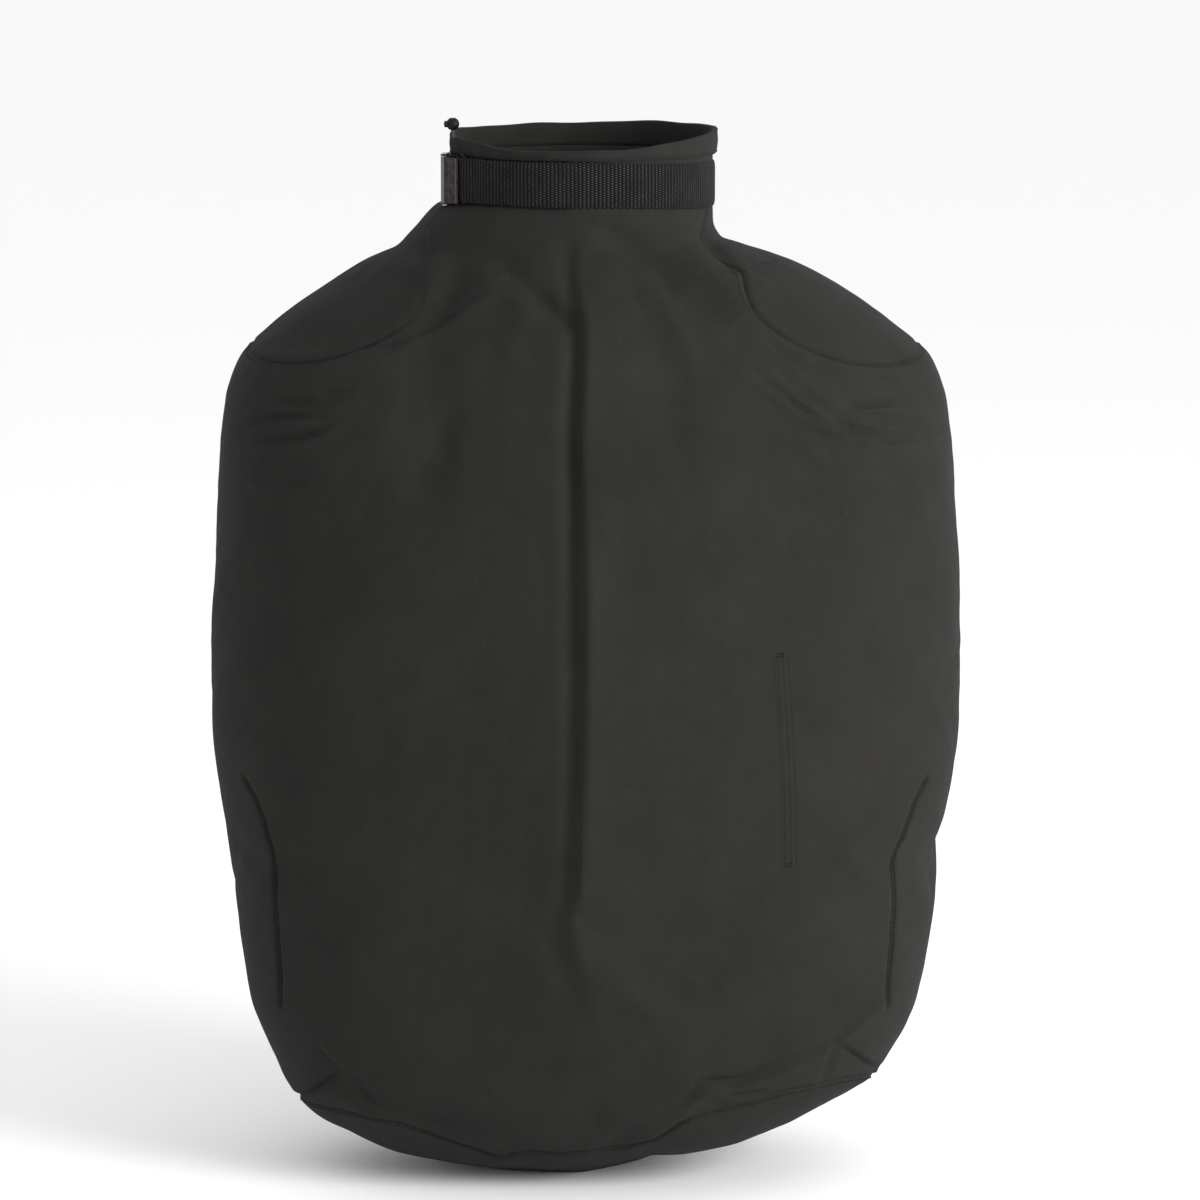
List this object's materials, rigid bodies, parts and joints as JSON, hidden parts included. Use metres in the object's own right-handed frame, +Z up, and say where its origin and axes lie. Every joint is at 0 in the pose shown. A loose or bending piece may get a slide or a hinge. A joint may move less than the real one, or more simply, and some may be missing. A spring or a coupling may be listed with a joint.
{
  "type": "fabric collection bag",
  "caption": "Black cloth bag with rounded shoulders and a closed base, hung from a round outlet by a webbing collar with a cam buckle and a drawcord hem.",
  "frame": {"origin": "on the neck's axis, at the mid-height of the webbing strap", "axes": "+Z up out of the neck, -Y towards the front with the middle seam and the slit, +X towards the bag's right side as seen from the front"},
  "size_m": [0.6538, 0.402, 0.9325],
  "materials": {
    "bag_cloth": "matt, plain-woven heavy cotton, black faded to charcoal",
    "neck_cloth": "matt, the bag's cloth in a double layer",
    "welt_cloth": "matt cloth binding",
    "seam_tape": "matt twill tape",
    "strap_webbing": "coarse ribbed webbing with a slight sheen",
    "keeper_tape": "smooth woven tape",
    "thread": "twisted polyester thread",
    "draw_cord": "braided cord",
    "buckle_metal": "nickel-plated steel, lightly scratched",
    "pin_steel": "plain steel rivet",
    "spring_steel": "drawn spring wire",
    "lock_plastic": "moulded black nylon"
  },
  "bodies": {
    "bag": {"front_left_panel": "bag_cloth", "front_right_panel": "bag_cloth", "back_left_panel": "bag_cloth", "back_right_panel": "bag_cloth", "left_shoulder_yoke": "bag_cloth", "right_shoulder_yoke": "bag_cloth", "left_side_gusset": "bag_cloth", "right_side_gusset": "bag_cloth", "front_seam_tape": "seam_tape", "back_seam_tape": "seam_tape", "left_seam_tape": "seam_tape", "right_seam_tape": "seam_tape", "slit_welt": "welt_cloth", "slit_bar_tacks": "thread", "gusset_bar_tacks": "thread", "keeper_bar_tacks": "thread", "neck_sleeve": "neck_cloth", "neck_hem": "neck_cloth", "webbing_strap": "strap_webbing", "keeper_back_right": "keeper_tape", "keeper_back_left": "keeper_tape", "draw_cord": "draw_cord", "buckle_frame": "buckle_metal", "buckle_pin": "pin_steel", "buckle_spring": "spring_steel"},
    "base": {"base_panel": "bag_cloth"},
    "cam": {"buckle_cam": "buckle_metal"},
    "cord_lock": {"cord_lock_body": "lock_plastic", "cord_lock_spring": "spring_steel"},
    "lock_plunger": {"cord_lock_plunger": "lock_plastic"}
  },
  "joints": [
    {"name": "base_lift", "type": "slide", "parent": "bag", "child": "base", "axis": [0, 0, 1], "range_m": [0, 0.27]},
    {"name": "cam_lever", "type": "hinge", "parent": "bag", "child": "cam", "pos_m": [-0.11774, -0.03405, 0], "axis": [0, 0, -1], "range_deg": [0, 65], "stiffness_Nm_per_rad": 0.05, "springref_deg": -28.65},
    {"name": "cord_lock_slide", "type": "slide", "parent": "bag", "child": "cord_lock", "axis": [0, 0, 1], "range_m": [-0.005, 0]},
    {"name": "lock_button", "type": "slide", "parent": "cord_lock", "child": "lock_plunger", "axis": [0.9627, 0.2706, 0], "range_m": [0, 0.0015], "stiffness_N_per_m": 250, "springref_m": -0.002, "deforming": ["cord_lock_spring"]}
  ]
}
